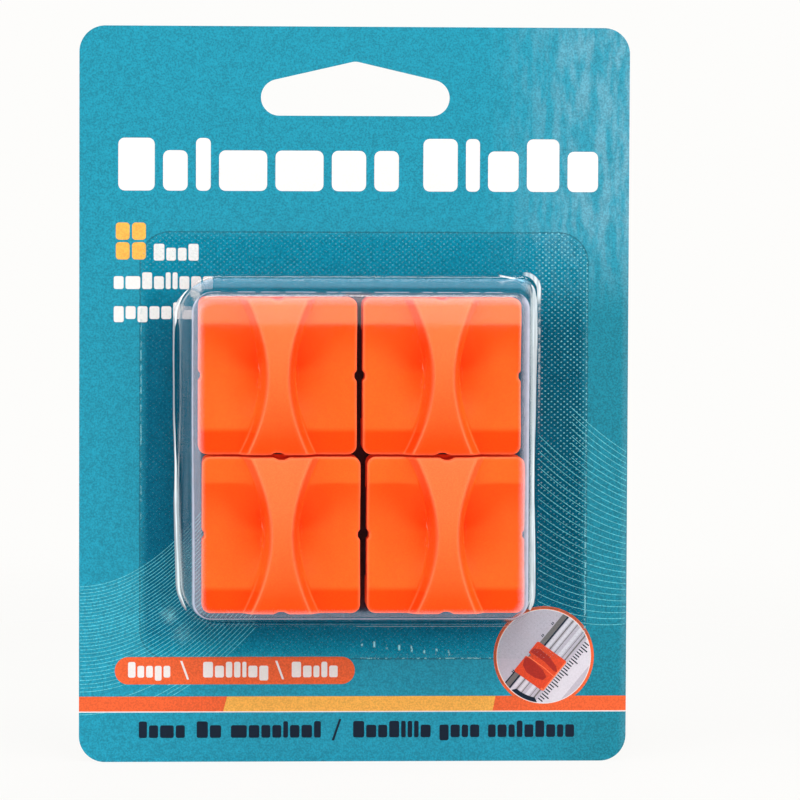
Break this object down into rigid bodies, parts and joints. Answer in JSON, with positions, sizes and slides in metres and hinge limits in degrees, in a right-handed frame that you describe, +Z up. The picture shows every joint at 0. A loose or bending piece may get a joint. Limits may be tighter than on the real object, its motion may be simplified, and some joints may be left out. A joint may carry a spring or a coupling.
{
  "type": "paper trimmer blade cartridge pack",
  "caption": "Hanging card with a clear blister holding square spring-loaded cutter cartridges for a sliding paper trimmer",
  "frame": {"origin": "middle of the card's bottom edge, half way through its thickness", "axes": "+Z up along the card, -Y out of the printed front, +X to the right as seen from the front"},
  "size_m": [0.112, 0.0189, 0.15],
  "materials": {
    "printed_board": "film-laminated print, satin",
    "clear_sheet": "clear thermoformed plastic sheet",
    "orange_plastic": "satin moulded",
    "orange_shoe_plastic": "satin moulded",
    "holder_plastic": "natural moulded",
    "blade_steel": "ground edge",
    "spring_wire": "drawn wire"
  },
  "bodies": {
    "pack": {"hang_card": "printed_board", "clear_blister": "clear_sheet", "top_left_rail_shoe": "orange_shoe_plastic", "top_left_return_spring_upper": "spring_wire", "top_left_return_spring_lower": "spring_wire", "top_right_rail_shoe": "orange_shoe_plastic", "top_right_return_spring_upper": "spring_wire", "top_right_return_spring_lower": "spring_wire", "bottom_left_rail_shoe": "orange_shoe_plastic", "bottom_left_return_spring_upper": "spring_wire", "bottom_left_return_spring_lower": "spring_wire", "bottom_right_rail_shoe": "orange_shoe_plastic", "bottom_right_return_spring_upper": "spring_wire", "bottom_right_return_spring_lower": "spring_wire"},
    "top_left_cutter": {"top_left_grip_cap": "orange_plastic", "top_left_blade_holder": "holder_plastic", "top_left_blade": "blade_steel"},
    "top_right_cutter": {"top_right_grip_cap": "orange_plastic", "top_right_blade_holder": "holder_plastic", "top_right_blade": "blade_steel"},
    "bottom_left_cutter": {"bottom_left_grip_cap": "orange_plastic", "bottom_left_blade_holder": "holder_plastic", "bottom_left_blade": "blade_steel"},
    "bottom_right_cutter": {"bottom_right_grip_cap": "orange_plastic", "bottom_right_blade_holder": "holder_plastic", "bottom_right_blade": "blade_steel"}
  },
  "joints": [
    {"name": "top_left_press", "type": "slide", "parent": "pack", "child": "top_left_cutter", "axis": [0, 1, 0], "range_m": [0, 0.0026], "stiffness_N_per_m": 400, "springref_m": -0.002, "deforming": ["top_left_return_spring_upper", "top_left_return_spring_lower"]},
    {"name": "top_right_press", "type": "slide", "parent": "pack", "child": "top_right_cutter", "axis": [0, 1, 0], "range_m": [0, 0.0026], "stiffness_N_per_m": 400, "springref_m": -0.002, "deforming": ["top_right_return_spring_upper", "top_right_return_spring_lower"]},
    {"name": "bottom_left_press", "type": "slide", "parent": "pack", "child": "bottom_left_cutter", "axis": [0, 1, 0], "range_m": [0, 0.0026], "stiffness_N_per_m": 400, "springref_m": -0.002, "deforming": ["bottom_left_return_spring_upper", "bottom_left_return_spring_lower"]},
    {"name": "bottom_right_press", "type": "slide", "parent": "pack", "child": "bottom_right_cutter", "axis": [0, 1, 0], "range_m": [0, 0.0026], "stiffness_N_per_m": 400, "springref_m": -0.002, "deforming": ["bottom_right_return_spring_upper", "bottom_right_return_spring_lower"]}
  ]
}
